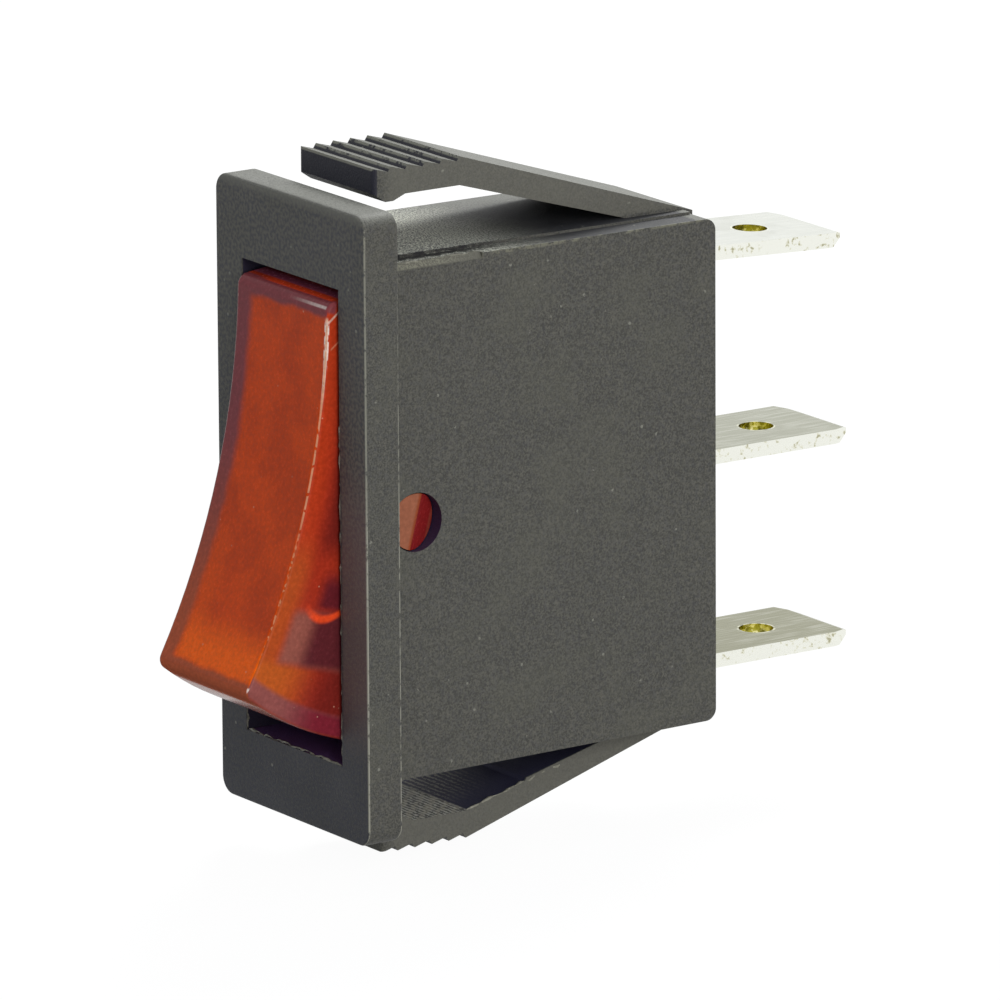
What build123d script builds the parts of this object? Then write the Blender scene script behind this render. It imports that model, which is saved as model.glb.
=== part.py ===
from build123d import *
import math
import os

# A narrow illuminated rocker switch, in millimetres. X is the width, +Y points rearwards through the
# panel, +Z is up. The origin is where the pivot line's height meets the plane of the bezel's back face.

# Bezel
bezel_width = 14.25
bezel_height = 34.0
bezel_thickness = 2.2
bezel_rise = 0.15            # bezel and arms sit this much above the pivot line
bezel_corner = 0.95
bezel_front_round = 0.15
bezel_rear_round = 0.27

# Box behind the bezel
box_width = 11.3
box_height = 27.9            # at the bezel
box_draft = 0.16             # how much lower the box is at its rear, above and below
box_rise = 0.06
box_depth = 21.15
box_corner = 0.65
rear_wall = 1.5
land_width = 8.4             # raised strip that the snap arms grow from
land_height = 0.15
seam = 0.5                   # how far added walls and strips run into the wall they grow from
lead_depth = 6.2             # short chamfer of the box's upper edges, behind the bezel
lead_chamfer = 0.33

# Opening for the rocker, which runs straight back to the stop ledges
opening_width = 9.25
opening_height = 25.8
ledge = 0.95

# Snap arms
arm_width = 7.1
arm_reach = (1.61, 1.55)     # top of each arm's teeth over the bezel's own half height
arm_drop = (4.86, 4.6)       # fall of the upper and the lower arm's outer face from head to root
arm_front = (0.77, 0.89)     # first tooth of each arm behind the bezel
arm_cut = (0, 0.12)          # the lower arm ends a little behind its first tooth
arm_inner_slope = (0.3, 0.257)
arm_notch = (0, 0.2)         # step across the lower arm's inner face
arm_notch_start = 3.8
arm_notch_run = 0.13
arm_end_inset = 0.02         # the arm's root stops this far before the rear face
arm_inner_reach = 0.05       # inner face of the toothed heads over that half height
head_round = 0.3
lip_depth = 0.3              # bead under the arm's free end
lip_start = 0.75
lip_end = 1.25
lip_run = 2.0
lip_lead = 0.2
tooth_count = 6
tooth_pitch = 1.086
tooth_height = 0.26
tooth_flat = 0.84            # share of the pitch that slopes

# Rocker
pivot_depth = 1.92
tilt = 14.8                  # rocker tilt from the middle to either end
rocker_width = 8.7
rocker_wall = 1.1
rocker_corner_reach = 7.55   # front corners before the pivot
rocker_half_height = 10.5
rocker_hollow = 1.28         # how deep the front face curves in
rocker_end_middle = (4.45, 11.64)
rocker_end_back = (0.75, 12.15)
rocker_skirt = 1.0
rocker_round = 0.6
rocker_rim_round = 0.22
pin_radius = 1.53
pin_clearance = 0.07
pin_end_gap = 0.1
pin_bevel = 0.75
ear_reach = 2.1
stop_clearance = 0.05

# Plunger, its tube and spring
plunger_radius = 1.42
plunger_clearance = 0.06
tube_radius = 2.1
tube_end = 4.2
plunger_back = 1.0
plunger_shoulder = 6.4
tip_centre = 8.0
tip_radius = 0.8
plunger_spring_radius = 1.05
plunger_spring_wire = 0.26
plunger_spring_turns = 6
coil_runs = 12               # straight runs in each turn of a spring
plunger_bore = 2.0
plunger_taper = 25.0

# Contact blade
blade_angle = 14.0           # each arm rises this much towards the front
blade_rock = 7.0             # tilt from the middle to either end
tip_gap = 0.06               # least gap between the plunger's tip and the blade
blade_thickness = 0.4
blade_width = 5.0
blade_waist = 3.9
waist_length = 2.6
blade_end = 0.69             # blade past the middle of its contact
contact_height = 7.0
moving_contact_radius = 1.1
moving_contact_height = 0.55
fixed_contact_radius = 1.2
fixed_contact_height = 0.5
moving_contact_dome = 0.25
contact_gap = 0.03
rivet_shank = 0.6
contact_chamfer = 0.12

# Terminals
tab_width = 6.3
tab_thickness = 0.8
tab_length = 10.6
tab_pitch = 11.3
tab_droop = 2.5              # the top tab is bent down a little
tab_hole_radius = 0.95
tab_hole_from_end = 3.95
tab_set_in = 0.42            # the top tab stands out less than the others
tab_far_chamfer = (1.7, 0.55)
tab_near_chamfer = (0.3, 0.9)
tab_top_bevel = (0.25, 0.08)
tab_low_bevel = (0.55, 0.45)
slot_clearance = 0.05
shoulder_width = 7.6
shoulder_depth = 1.2
inner_width = 5.0
saddle_gap = 0.02
horn_height = 1.3
horn_width = 0.6
shelf_width = 4.6
horn_root = 1.5
shelf_margin = 1.4           # shelf length past the middle of what it carries
post_half = 0.6              # half height of the two walls behind the blade and the shelf
guide_thickness = 1.0
guide_setback = 3.3          # guides start this far behind the blade

# Lamp circuit
carrier_thickness = 1.0
carrier_gap = 0.05
bulb_radius = 1.9
bulb_lead_run = 0.45         # the bulb's base stops this far before the lamp springs
bulb_wall = 0.35
bulb_dome = 1.1
bulb_base_chamfer = 0.5
bulb_pinch = 1.5             # solid glass that seals the leads
bulb_clearance = 0.35
bulb_depth = 2.45            # bulb and resistor axis before the pivot
electrode_radius = 0.4
electrode_spacing = 1.3
electrode_start = 1.9        # electrode ends from the bulb's base and tip
electrode_end = 1.2
lead_radius = 0.22
lead_inside = 3.0
lead_tail = 0.35             # lead ends behind the carrier
lead_turn = 0.35
solder_radius = 0.42
solder_start = 0.45
resistor_radius = 1.15
resistor_lead_run = 0.5
resistor_chamfer = 0.35
resistor_start_gap = 1.5
lamp_spring_radius = 0.95
lamp_spring_wire = 0.26
lamp_spring_turns = 7
lamp_spring_offset = 2.5     # lamp springs further out than the contacts
lamp_spring_lift = 0.25      # the coil's end ring stands this far off the carrier
bypass = 2.66                # side offset of the lead that passes the plunger tube

# Places that follow from the sizes above
box_half = box_height / 2
open_half = opening_height / 2
cavity_back = box_depth - rear_wall
hole_radius = pin_radius + pin_clearance
rocker_side = rocker_width / 2
inner_side = rocker_side - rocker_wall
tube_front = rocker_hollow - rocker_corner_reach + rocker_wall
sine = math.sin(math.radians(tilt))
cosine = math.cos(math.radians(tilt))


def tip_distance(share):
    """How far behind the pivot the blade's vertex must lie for the tip to clear it at this tilt."""
    swing = math.radians(tilt * share)
    slope = math.radians(blade_angle - blade_rock * share)
    forward = tip_centre * (math.cos(swing) * math.cos(slope) + math.sin(swing) * math.sin(slope))
    return (forward + tip_radius + tip_gap) / math.cos(slope)


blade_arm = contact_height / math.cos(math.radians(blade_angle)) + blade_end
lamp_spring_height = contact_height + lamp_spring_offset
blade_depth = pivot_depth + max(tip_distance(step / 30) for step in range(31))
blade_back = blade_depth + blade_thickness / math.cos(math.radians(blade_angle))
pressed = math.radians(blade_angle - blade_rock)
stop_depth = blade_depth - contact_height * math.tan(pressed) + blade_thickness / math.cos(pressed)
rest_depth = stop_depth + post_half * math.tan(pressed) + contact_gap
shelf_depth = stop_depth + moving_contact_height + fixed_contact_height + contact_gap
bulb_tip = tube_radius + bulb_clearance
bulb_base = lamp_spring_height - bulb_lead_run
electrode_x = electrode_spacing / 2
resistor_start = tube_radius + resistor_start_gap
resistor_end = lamp_spring_height - resistor_lead_run
joint_height = tube_radius + solder_start
ledge_depth = pivot_depth + rocker_skirt * cosine + rocker_end_back[1] * sine + stop_clearance


def block(x, y, z):
    """A box from three (low, high) pairs."""
    size = [high - low for low, high in (x, y, z)]
    middle = [(high + low) / 2 for low, high in (x, y, z)]
    return Pos(*middle) * Box(*size)


def slab(points, width):
    """A YZ outline made as wide as given, centred on X = 0."""
    return extrude(Plane.YZ * make_face(Polyline(*points, close=True)), amount=width / 2, both=True)


def rod(radius, start, end):
    """A round bar between two points."""
    axis = Vector(*end) - Vector(*start)
    return extrude(Plane(start, z_dir=axis) * Circle(radius), amount=axis.length)


def wire(points, section):
    """A wire along straight runs with sharp bends."""
    path = Polyline(*points)
    return sweep(Plane(path @ 0, z_dir=path % 0) * section, path=path, transition=Transition.RIGHT)


def coil(start, end, radius, wire_radius, turns):
    """A compression spring whose wire stays between two seats, in short straight runs."""
    axis = Vector(*end) - Vector(*start)
    height = axis.length - 2 * wire_radius
    runs = turns * coil_runs
    points = []
    for run in range(runs + 1):
        angle = 2 * math.pi * run / coil_runs
        points.append((radius * math.cos(angle), radius * math.sin(angle), height * run / runs))
    body = wire(points, RegularPolygon(wire_radius, 6))
    return Plane(start, z_dir=axis).location * Pos(0, 0, wire_radius) * body


def on_rocker(shape):
    """Puts a piece drawn about the pivot into the photographed rest tilt, top pressed in."""
    return Pos(0, pivot_depth, 0) * Rot(-tilt, 0, 0) * shape


def rocker_point(x, depth, height):
    """Where a point drawn about the pivot lies in the rest tilt."""
    return (x, pivot_depth + depth * cosine + height * sine, height * cosine - depth * sine)


def on_blade(shape):
    """Puts a piece drawn about the blade's vertex line into the rest tilt, lower arm pressed."""
    return Pos(0, blade_back, 0) * Rot(blade_rock, 0, 0) * shape


def make_bezel():
    face = Plane.XZ * RectangleRounded(bezel_width, bezel_height, bezel_corner)
    plate = Pos(0, 0, bezel_rise) * extrude(face, amount=bezel_thickness)
    sides = plate.faces().sort_by(Axis.Y)
    plate = fillet(sides[0].edges(), bezel_front_round)
    return fillet(plate.faces().sort_by(Axis.Y)[-1].edges(), bezel_rear_round)


def make_box():
    half = box_width / 2
    rear_half = box_half - box_draft
    body = slab([(-seam, box_half), (box_depth, rear_half), (box_depth, -rear_half), (-seam, -box_half)],
                box_width)
    rear_edges = body.faces().sort_by(Axis.Y)[-1].edges().filter_by(Axis.X)
    body = fillet(rear_edges, box_corner)
    corner = Polyline((half - lead_chamfer, box_half), (half, box_half - lead_chamfer),
                      (box_width, box_half - lead_chamfer), (box_width, box_half), close=True)
    lead = extrude(Plane.XZ * make_face(corner), amount=lead_depth, dir=(0, 1, 0))
    body -= lead + mirror(lead, about=Plane.YZ)
    rear = box_depth - box_corner
    high = box_half + land_height
    low = rear_half + land_height
    land = slab([(-seam, high), (rear, low), (rear, -low), (-seam, -high)], land_width)
    return Pos(0, 0, box_rise) * (body + land)


def arm_outline(row):
    """An arm's YZ outline, drawn as the upper one, with heights over the bezel's centre line."""
    first = arm_front[row]
    front = first + arm_cut[row]
    tops = bezel_height / 2 + arm_reach[row]
    head_end = first + (tooth_count - 1) * tooth_pitch
    inner = bezel_height / 2 + arm_inner_reach
    root = box_depth - arm_end_inset
    root_height = box_half - seam
    slope = arm_inner_slope[row]
    notch = arm_notch[row]
    points = [(front, tops - arm_cut[row] * tooth_height / (tooth_pitch * tooth_flat))]
    for tooth in range(tooth_count - 1):
        start = first + tooth * tooth_pitch
        points.append((start + tooth_pitch * tooth_flat, tops - tooth_height))
        points.append((start + tooth_pitch, tops))
    points.append((root, tops - arm_drop[row]))
    points.append((root, root_height))
    points.append((head_end + (inner - notch - root_height) / slope, root_height))
    if notch:
        level = inner - slope * arm_notch_start
        points.append((head_end + arm_notch_start + arm_notch_run, level - notch))
        points.append((head_end + arm_notch_start, level))
    points.append((head_end, inner))
    points.append((front + lip_run, inner))
    points.append((front + lip_end, inner - lip_depth))
    points.append((front + lip_start, inner - lip_depth))
    points.append((front, inner + lip_lead))
    return points


def make_arm(row):
    arm = slab(arm_outline(row), arm_width)
    front = arm.faces().sort_by(Axis.Y)[0]
    return fillet(front.edges().filter_by(Axis.Z), head_round)


def make_arms():
    return Pos(0, 0, bezel_rise) * (make_arm(0) + mirror(make_arm(1), about=Plane.XY))


def make_housing():
    body = make_bezel() + make_box() + make_arms()
    half = opening_width / 2
    deep = open_half - ledge
    body -= block((-half, half), (-2 * bezel_thickness, ledge_depth), (-open_half, open_half))
    body -= block((-half, half), (0, cavity_back), (-deep, deep))
    body -= rod(hole_radius, (-bezel_width, pivot_depth, 0), (bezel_width, pivot_depth, 0))
    slot_x = tab_width / 2 + slot_clearance
    slot_z = tab_thickness / 2 + slot_clearance
    for row in (-1, 0, 1):
        height = row * tab_pitch
        slot = (height - slot_z, height + slot_z)
        body -= block((-slot_x, slot_x), (cavity_back - seam, 2 * box_depth), slot)
    for side in (-1, 1):
        near = side * slot_z
        guide = sorted((near, near + side * guide_thickness))
        body += block((-half, half), (blade_back + guide_setback, cavity_back + seam), guide)
    low = (-contact_height - post_half, -contact_height + post_half)
    high = (contact_height - post_half, contact_height + post_half)
    body += block((-half, half), (rest_depth, cavity_back + seam), low)
    body += block((-half, half), (shelf_depth + tab_thickness, cavity_back + seam), high)
    return body


def rocker_outline(inset):
    """The rocker's side outline, about the pivot, moved inwards by inset."""
    reach = rocker_corner_reach
    front = rocker_half_height
    middle = rocker_end_middle
    depth, back = rocker_end_back
    face = ThreePointArc((-reach, -front), (rocker_hollow - reach, 0), (-reach, front))
    top = ThreePointArc((-reach, front), (-middle[0], middle[1]), (-depth, back))
    low = mirror(top, about=Plane.XZ)
    rest = Polyline((-depth, back), (rocker_skirt, back), (rocker_skirt, -back), (-depth, -back))
    outline = make_face(face + top + rest + low)
    if inset:
        outline = offset(outline, amount=-inset, kind=Kind.INTERSECTION)
    return outline


def make_pin(side):
    """A pivot pin whose end is cut slanting, so that it can be pushed into its hole past the wall."""
    reach = box_width / 2 - pin_end_gap
    pin = rod(pin_radius, (side * inner_side, 0, 0), (side * reach, 0, 0))
    wide = 2 * pin_radius
    outer = side * (reach + pin_bevel)
    slant = side * (reach - 2 * pin_bevel)
    bevel = Polyline((side * reach, 0), (outer, 0), (outer, wide), (slant, wide), close=True)
    return pin - extrude(make_face(bevel), amount=2 * pin_radius, both=True)


def make_rocker():
    shell = extrude(Plane.YZ * rocker_outline(0), amount=rocker_side, both=True)
    corners = shell.edges().filter_by(Axis.X).group_by(Axis.Y)[0]
    shell = fillet(corners, rocker_round)
    rim = shell.faces().filter_by(Axis.X).edges().filter_by(lambda edge: edge.center().Y < -1)
    shell = fillet(rim, rocker_rim_round)
    hollow = extrude(Plane.YZ * rocker_outline(rocker_wall), amount=inner_side, both=True)
    inner_end = rocker_end_back[1] - rocker_wall
    open_back = block((-inner_side, inner_side), (-rocker_end_back[0] - rocker_wall, 2 * rocker_skirt),
                      (-inner_end, inner_end))
    shell -= hollow + open_back
    for side in (-1, 1):
        ear = rod(ear_reach, (side * inner_side, 0, 0), (side * rocker_side, 0, 0))
        shell += ear + make_pin(side)
    tube = rod(tube_radius, (0, tube_front - rocker_wall / 2, 0), (0, tube_end, 0))
    bore = rod(plunger_radius + plunger_clearance, (0, tube_front, 0), (0, 2 * tube_end, 0))
    return shell + tube - bore


def make_carrier():
    half_height = rocker_end_back[1] - rocker_wall - carrier_gap
    half_width = inner_side - carrier_gap
    back = rocker_skirt
    plate = block((-half_width, half_width), (back - carrier_thickness, back), (-half_height, half_height))
    deep = 2 * carrier_thickness
    plate -= rod(tube_radius + carrier_gap, (0, -deep, 0), (0, deep, 0))
    for side in (-1, 1):
        height = side * lamp_spring_height
        plate -= rod(lead_radius + carrier_gap, (0, -deep, height), (0, deep, height))
    return plate


def lead_path(side):
    """Each lead leaves the bulb's base; one goes through the carrier, the other past the plunger tube."""
    start = lead_inside - bulb_base
    turn = -bulb_base - lead_turn
    if side < 0:
        return [(-electrode_x, -bulb_depth, start), (-electrode_x, -bulb_depth, turn + lead_radius),
                (0, lead_tail - bulb_depth, -lamp_spring_height),
                (0, rocker_skirt + lead_tail, -lamp_spring_height)]
    return [(electrode_x, -bulb_depth, start), (electrode_x, -bulb_depth, turn), (bypass, -bulb_depth, turn),
            (bypass, -bulb_depth, joint_height)]


def make_electrode(side):
    lead = wire(lead_path(side), Circle(lead_radius))
    start = (side * electrode_x, -bulb_depth, electrode_start - bulb_base)
    end = (side * electrode_x, -bulb_depth, -bulb_tip - electrode_end)
    return lead + rod(electrode_radius, start, end)


def domed(radius, low, high, dome):
    """A round bar along Z with a domed upper end."""
    edge = high - dome
    sphere = (radius ** 2 + dome ** 2) / (2 * dome)
    half_turn = math.atan2(radius, sphere - dome) / 2
    crest = (sphere * math.sin(half_turn), high - sphere * (1 - math.cos(half_turn)))
    sides = Polyline((0, high), (0, low), (radius, low), (radius, edge))
    return revolve(Plane.XZ * make_face(sides + ThreePointArc((radius, edge), crest, (0, high))), axis=Axis.Z)


def make_bulb():
    low = -bulb_base
    high = -bulb_tip
    outer = domed(bulb_radius, low, high, bulb_dome)
    outer = chamfer(outer.edges().filter_by(GeomType.CIRCLE).sort_by(Axis.Z)[0], bulb_base_chamfer)
    inside = rod(bulb_radius - bulb_wall, (0, 0, low + bulb_pinch), (0, 0, high - bulb_wall))
    glass = outer - chamfer(inside.edges().filter_by(GeomType.CIRCLE).sort_by(Axis.Z)[-1], bulb_dome)
    for side in (-1, 1):
        x = side * electrode_x
        glass -= rod(lead_radius, (x, 0, low - bulb_pinch), (x, 0, low + 2 * bulb_pinch))
    return Pos(0, -bulb_depth, 0) * glass


def make_resistor():
    body = rod(resistor_radius, (0, -bulb_depth, resistor_start), (0, -bulb_depth, resistor_end))
    return chamfer(body.edges().filter_by(GeomType.CIRCLE), resistor_chamfer)


def make_inner_lead():
    level = resistor_start - 2 * lead_radius
    points = [(bypass, -bulb_depth, joint_height), (bypass, -bulb_depth, level), (0, -bulb_depth, level),
              (0, -bulb_depth, resistor_start)]
    return wire(points, Circle(lead_radius))


def make_outer_lead():
    points = [(0, -bulb_depth, resistor_end), (0, -bulb_depth, lamp_spring_height),
              (0, rocker_skirt + lead_tail, lamp_spring_height)]
    return wire(points, Circle(lead_radius))


def make_solder():
    blob = rod(solder_radius, (bypass, -bulb_depth, joint_height - solder_radius),
               (bypass, -bulb_depth, joint_height + solder_radius))
    return blob - rod(lead_radius, (bypass, -bulb_depth, 0), (bypass, -bulb_depth, 2 * tube_radius))


def make_plunger():
    back = plunger_back
    radius = plunger_radius
    tip = tip_centre
    angle = math.radians(plunger_taper)
    side = (tip_radius * math.cos(angle), tip + tip_radius * math.sin(angle))
    nose = (tip_radius * math.sin(angle), tip + tip_radius * math.cos(angle))
    side_line = Polyline((0, tip + tip_radius), (0, back), (radius, back), (radius, plunger_shoulder), side)
    outline = side_line + ThreePointArc(side, nose, (0, tip + tip_radius))
    body = revolve(make_face(outline), axis=Axis.Y)
    bore = rod(plunger_spring_radius + plunger_spring_wire, (0, 0, 0), (0, back + plunger_bore, 0))
    return body - bore


def make_plunger_spring():
    radius = plunger_spring_radius - plunger_spring_wire / 2
    return coil((0, tube_front, 0), (0, plunger_back + plunger_bore, 0), radius, plunger_spring_wire / 2,
                plunger_spring_turns)


def contact_place():
    """The middle of the rivet seat on the back of the blade's upper arm, facing along its normal."""
    rise = contact_height * math.tan(math.radians(blade_angle))
    return Pos(0, -rise, contact_height) * Rot(blade_angle - 90, 0, 0)


def make_blade():
    angle = math.radians(blade_angle)
    run = blade_arm * math.cos(angle)
    rise = blade_arm * math.sin(angle)
    cut = blade_thickness * math.sin(angle)
    lift = blade_thickness * math.cos(angle)
    drop = blade_thickness / math.cos(angle)
    strip = slab([(0, 0), (-rise, run), (-rise - lift, run - cut), (-drop, 0), (-rise - lift, cut - run),
                  (-rise, -run)], blade_width)
    for side in (-1, 1):
        x = sorted((side * blade_waist / 2, side * blade_width))
        strip -= block(x, (-blade_arm, blade_thickness), (-waist_length / 2, waist_length / 2))
    return strip - contact_place() * Cylinder(rivet_shank, 4 * blade_thickness)


def make_moving_contact():
    """A rivet with a domed head, its shank flush with the blade's front."""
    rivet = domed(moving_contact_radius, 0, moving_contact_height, moving_contact_dome)
    rivet += rod(rivet_shank, (0, 0, -blade_thickness), (0, 0, 0))
    return contact_place() * rivet


def make_fixed_contact():
    face = (0, shelf_depth - fixed_contact_height, contact_height)
    seat = (0, shelf_depth, contact_height)
    head = rod(fixed_contact_radius, seat, face)
    head = chamfer(head.edges().group_by(Axis.Y)[0], contact_chamfer)
    return head + rod(rivet_shank, seat, (0, shelf_depth + tab_thickness, contact_height))


def tab_blade(front, droop, set_in):
    """A flat tab from the given depth out through the rear wall, in the plane Z = 0."""
    half = tab_width / 2
    end = box_depth + tab_length - set_in
    far = tab_far_chamfer
    near = tab_near_chamfer
    outline = Polyline((-half, box_depth), (half, box_depth), (half, end - near[1]), (half - near[0], end),
                       (far[0] - half, end), (-half, end - far[1]), close=True)
    face = tab_thickness / 2
    blade = extrude(make_face(outline), amount=face, both=True)
    for side, (run, rise) in ((1, tab_top_bevel), (-1, tab_low_bevel)):
        wedge = [(end - run, side * tab_thickness), (end - run, side * face), (end, side * (face - rise)),
                 (end, side * tab_thickness)]
        blade -= slab(wedge, 2 * tab_width)
    hole_depth = end - tab_hole_from_end
    blade -= rod(tab_hole_radius, (0, hole_depth, -tab_thickness), (0, hole_depth, tab_thickness))
    if droop:
        root = Pos(0, box_depth, 0)
        blade = root * Rot(-droop, 0, 0) * root.inverse() * blade
        blade += rod(face, (-half, box_depth, 0), (half, box_depth, 0))
    thick = (-face, face)
    blade += block((-half, half), (cavity_back, box_depth), thick)
    wide = shoulder_width / 2
    blade += block((-wide, wide), (cavity_back - shoulder_depth, cavity_back), thick)
    slim = inner_width / 2
    return blade + block((-slim, slim), (front, cavity_back), thick)


def make_common_terminal():
    front = blade_back + saddle_gap
    thick = (-tab_thickness / 2, tab_thickness / 2)
    terminal = tab_blade(front, 0, 0)
    outside = inner_width / 2 + horn_width / 2
    for side in (-1, 1):
        x = sorted((side * outside, side * (outside - horn_width)))
        terminal += block(x, (front - horn_height, front + horn_root), thick)
    return terminal


def shelf_terminal(side, reach, droop, set_in):
    """A terminal whose inner end is bent towards the middle as a shelf that faces the rocker."""
    height = side * tab_pitch
    terminal = Pos(0, 0, height) * tab_blade(shelf_depth, droop, set_in)
    half = shelf_width / 2
    rows = sorted((side * reach, height + side * tab_thickness / 2))
    return terminal + block((-half, half), (shelf_depth, shelf_depth + tab_thickness), rows)


def make_switched_terminal():
    terminal = shelf_terminal(1, contact_height - shelf_margin, tab_droop, tab_set_in)
    return terminal - rod(rivet_shank, (0, 0, contact_height), (0, cavity_back, contact_height))


def make_lamp_terminal():
    return shelf_terminal(-1, lamp_spring_height - shelf_margin, 0, 0)


def make_lamp_spring(side):
    start = rocker_point(0, rocker_skirt + lamp_spring_lift, side * lamp_spring_height)
    end = (0, shelf_depth, side * lamp_spring_height)
    radius = lamp_spring_radius - lamp_spring_wire / 2
    return coil(start, end, radius, lamp_spring_wire / 2, lamp_spring_turns)


parts = {
    "housing": make_housing(),
    "rocker": on_rocker(make_rocker()),
    "lamp_carrier": on_rocker(make_carrier()),
    "neon_bulb": on_rocker(make_bulb()),
    "electrode_left": on_rocker(make_electrode(-1)),
    "electrode_right": on_rocker(make_electrode(1)),
    "resistor": on_rocker(make_resistor()),
    "resistor_lead_inner": on_rocker(make_inner_lead()),
    "resistor_lead_outer": on_rocker(make_outer_lead()),
    "solder_joint": on_rocker(make_solder()),
    "plunger": on_rocker(make_plunger()),
    "plunger_spring": on_rocker(make_plunger_spring()),
    "contact_blade": on_blade(make_blade()),
    "moving_contact": on_blade(make_moving_contact()),
    "fixed_contact": make_fixed_contact(),
    "common_terminal": make_common_terminal(),
    "switched_terminal": make_switched_terminal(),
    "lamp_terminal": make_lamp_terminal(),
    "lamp_spring_upper": make_lamp_spring(1),
    "lamp_spring_lower": make_lamp_spring(-1),
}

os.makedirs("parts", exist_ok=True)
for name, shape in parts.items():
    export_step(shape, f"parts/{name}.step")
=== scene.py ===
# %% [markdown]
# # A narrow lighted rocker switch
#
# The switch is a black nylon housing that snaps into a panel, a translucent red rocker and three flat
# tin-plated tabs. The solids come ready made in a frame, in metres: +Y runs rearwards through the panel,
# +Z is up, and X is the width. This lesson gives them their finishes, their light and their camera.

# %% Load the frame
import bmesh
import bpy
import math
import random
from mathutils import Matrix, Vector


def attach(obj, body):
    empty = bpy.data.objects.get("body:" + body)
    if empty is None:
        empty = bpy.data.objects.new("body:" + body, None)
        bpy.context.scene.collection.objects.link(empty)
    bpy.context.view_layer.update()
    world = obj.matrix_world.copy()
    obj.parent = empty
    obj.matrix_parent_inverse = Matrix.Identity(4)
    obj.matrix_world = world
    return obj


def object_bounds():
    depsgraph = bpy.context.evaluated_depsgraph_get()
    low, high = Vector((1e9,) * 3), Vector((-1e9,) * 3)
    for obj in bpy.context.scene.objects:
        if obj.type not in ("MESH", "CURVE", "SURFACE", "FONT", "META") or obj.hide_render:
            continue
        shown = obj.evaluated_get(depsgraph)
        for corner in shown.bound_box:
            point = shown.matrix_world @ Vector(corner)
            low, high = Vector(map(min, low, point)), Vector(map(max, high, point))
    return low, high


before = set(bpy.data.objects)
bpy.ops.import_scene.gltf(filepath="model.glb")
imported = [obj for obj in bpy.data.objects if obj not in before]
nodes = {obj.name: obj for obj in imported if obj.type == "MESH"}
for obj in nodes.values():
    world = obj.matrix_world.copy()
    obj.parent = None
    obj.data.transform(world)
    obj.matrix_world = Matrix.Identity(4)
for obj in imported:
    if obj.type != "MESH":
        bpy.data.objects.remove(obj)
cad_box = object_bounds()

# %% [markdown]
# ## Units and colours
#
# Sizes are thought of in millimetres, as on a drawing, and `mm` turns them to metres. Colours are picked as
# sRGB hex values, the way a colour picker shows them, while a shader works with linear light, so one
# function does that step for every colour.

# %% Units and colours
mm = 0.001


def colour(code):
    """An sRGB hex value as linear red, green, blue and alpha."""
    parts = [int(code[place:place + 2], 16) / 255 for place in (1, 3, 5)]
    linear = [part / 12.92 if part <= 0.04045 else ((part + 0.055) / 1.055) ** 2.4 for part in parts]
    return (*linear, 1.0)


print("mid grey in linear light:", round(colour("#808080")[0], 4))

# %% [markdown]
# ## The camera
#
# The camera stands in front of the switch, to its right and a little above, with a long lens from about half
# a metre, so that the long edges run almost parallel. It is built first, because every later choice is
# judged through it. Its direction is written as an azimuth round the switch and a height above the horizon,
# and the aim is a point behind the middle of the bezel.

# %% Camera
azimuth = math.radians(55.875)
elevation = math.radians(14.132)
roll = math.radians(-0.334)
aim = Vector((0, 5.95 * mm, 0.15 * mm))
distance = 638.4 * mm
shift_right = 4.23 * mm
shift_up = -0.668 * mm
sensor_width = 36
lens_ratio = 12.028         # the lens's focal length over the sensor's width

back = Vector((math.sin(azimuth) * math.cos(elevation), -math.cos(azimuth) * math.cos(elevation),
               math.sin(elevation)))
level = Vector((math.cos(azimuth), math.sin(azimuth), 0))
upright = back.cross(level)
right = math.cos(roll) * level + math.sin(roll) * upright
up = math.cos(roll) * upright - math.sin(roll) * level

camera_data = bpy.data.cameras.new("camera")
camera_data.sensor_width = sensor_width
camera_data.lens = lens_ratio * sensor_width
camera = bpy.data.objects.new("camera", camera_data)
place = Matrix((right, up, back)).transposed().to_4x4()
place.translation = aim + distance * back + shift_right * right + shift_up * up
camera.matrix_world = place
bpy.context.scene.collection.objects.link(camera)
bpy.context.scene.camera = camera
print("camera at", [round(value / mm, 1) for value in camera.location], "mm")

# %% [markdown]
# ## One helper for shader nodes
#
# Every finish below is a small graph of shader nodes. One function adds a node, sets its options and its
# sockets, and links what is given as another node's output, so each material reads as a list of steps.

# %% Node helper
def add(tree, kind, options=None, **sockets):
    """A shader node with its options and sockets; a socket's name uses _ for a space, and N is an index."""
    node = tree.nodes.new(kind)
    for name, value in (options or {}).items():
        setattr(node, name, value)
    for name, value in sockets.items():
        key = int(name[1:]) if name[0] == "N" and name[1:].isdigit() else name.replace("_", " ")
        if isinstance(value, bpy.types.NodeSocket):
            tree.links.new(value, node.inputs[key])
        else:
            node.inputs[key].default_value = value
    return node


def new_material(name):
    """An empty material, its node tree, and the object's own coordinates in millimetres."""
    material = bpy.data.materials.new(name)
    material.use_nodes = True
    tree = material.node_tree
    tree.nodes.clear()
    place = add(tree, "ShaderNodeTexCoord").outputs["Object"]
    place = add(tree, "ShaderNodeMapping", Vector=place, Scale=(1 / mm, 1 / mm, 1 / mm)).outputs[0]
    return material, tree, place


def finish_material(tree, shader):
    """Joins the shader to the output."""
    add(tree, "ShaderNodeOutputMaterial", Surface=shader.outputs[0])


def assign(material, *names):
    """Gives the material to the solids of these names."""
    for name in names:
        data = nodes[name].data
        data.materials.clear()
        data.materials.append(material)
    print(material.name, "on", ", ".join(names))


# %% [markdown]
# ## Painting zones
#
# Much of what the eye reads as age and use is a zone of another colour: an edge that is scuffed pale, dust on
# what faces up, a wall that shows darker through clear plastic. A zone is a colour, a strength and a list of
# limits. Each limit names a measure, such as a distance in millimetres or a noise, and fades in from its
# first value to its second. The zones are laid over one another in order, as a painter would.

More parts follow.
